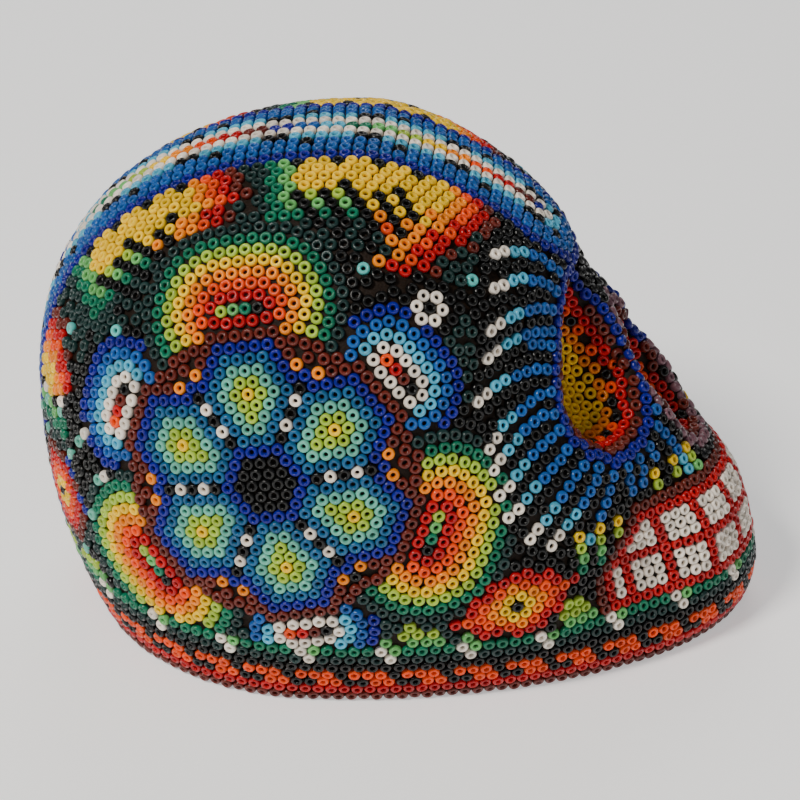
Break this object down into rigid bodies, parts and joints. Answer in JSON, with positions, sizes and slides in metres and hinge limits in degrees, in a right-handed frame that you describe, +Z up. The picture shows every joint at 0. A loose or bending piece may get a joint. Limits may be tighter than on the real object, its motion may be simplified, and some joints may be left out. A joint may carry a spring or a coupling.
{
  "type": "beaded skull figure",
  "caption": "Skull figure with a flat base, cast core under dark wax, covered in glass seed beads laid as flowers, rainbow arches and rays",
  "frame": {"origin": "centre of the overall bounding box on the plane that the base stands on", "axes": "+X is the way the face looks, -Y is the skull's right side, +Z is up"},
  "size_m": [0.1248, 0.0902, 0.0869],
  "materials": {
    "core": "cast resin, matt",
    "wax": "dark beeswax, satin",
    "orange_step_border": "opaque glossy glass seed beads",
    "green_border": "opaque glossy glass seed beads",
    "nose_lining": "opaque glossy glass seed beads",
    "teeth_panel": "opaque glossy glass seed beads",
    "upper_lip": "opaque glossy glass seed beads",
    "crown_band": "opaque glossy glass seed beads",
    "rosette_core": "opaque glossy glass seed beads",
    "rosette_petals": "opaque glossy glass seed beads",
    "rosette_field": "opaque glossy glass seed beads",
    "rainbow_arch_top": "opaque glossy glass seed beads",
    "rainbow_arch_front": "opaque glossy glass seed beads",
    "rainbow_arch_rear": "opaque glossy glass seed beads",
    "blue_oval_front": "opaque glossy glass seed beads",
    "blue_oval_base": "opaque glossy glass seed beads",
    "blue_oval_rear": "opaque glossy glass seed beads",
    "white_flower": "opaque glossy glass seed beads",
    "base_flower": "opaque glossy glass seed beads",
    "comb_front": "opaque glossy glass seed beads",
    "comb_rear": "opaque glossy glass seed beads",
    "comb_back": "opaque glossy glass seed beads",
    "eye_rays": "opaque glossy glass seed beads",
    "eye_lining": "opaque glossy glass seed beads",
    "dark_field": "opaque glossy glass seed beads"
  },
  "bodies": {
    "root": {"core_form": "core", "wax_coat": "wax", "orange_step_border": "orange_step_border", "green_border": "green_border", "nose_lining": "nose_lining", "teeth_panel": "teeth_panel", "upper_lip": "upper_lip", "crown_band": "crown_band", "rosette_core_right": "rosette_core", "rosette_core_left": "rosette_core", "rosette_petal_1_right": "rosette_petals", "rosette_petal_1_left": "rosette_petals", "rosette_petal_2_right": "rosette_petals", "rosette_petal_2_left": "rosette_petals", "rosette_petal_3_right": "rosette_petals", "rosette_petal_3_left": "rosette_petals", "rosette_petal_4_right": "rosette_petals", "rosette_petal_4_left": "rosette_petals", "rosette_petal_5_right": "rosette_petals", "rosette_petal_5_left": "rosette_petals", "rosette_petal_6_right": "rosette_petals", "rosette_petal_6_left": "rosette_petals", "rosette_field_right": "rosette_field", "rosette_field_left": "rosette_field", "rainbow_arch_top_right": "rainbow_arch_top", "rainbow_arch_top_left": "rainbow_arch_top", "rainbow_arch_front_right": "rainbow_arch_front", "rainbow_arch_front_left": "rainbow_arch_front", "rainbow_arch_rear_right": "rainbow_arch_rear", "rainbow_arch_rear_left": "rainbow_arch_rear", "blue_oval_front_right": "blue_oval_front", "blue_oval_front_left": "blue_oval_front", "blue_oval_base_right": "blue_oval_base", "blue_oval_base_left": "blue_oval_base", "blue_oval_rear_right": "blue_oval_rear", "blue_oval_rear_left": "blue_oval_rear", "white_flower_right": "white_flower", "white_flower_left": "white_flower", "base_flower_right": "base_flower", "base_flower_left": "base_flower", "comb_front_right": "comb_front", "comb_front_left": "comb_front", "comb_rear_right": "comb_rear", "comb_rear_left": "comb_rear", "comb_back_right": "comb_back", "comb_back_left": "comb_back", "eye_rays_right": "eye_rays", "eye_rays_left": "eye_rays", "eye_lining_right": "eye_lining", "eye_lining_left": "eye_lining", "dark_field_right": "dark_field", "dark_field_left": "dark_field"}
  },
  "joints": []
}
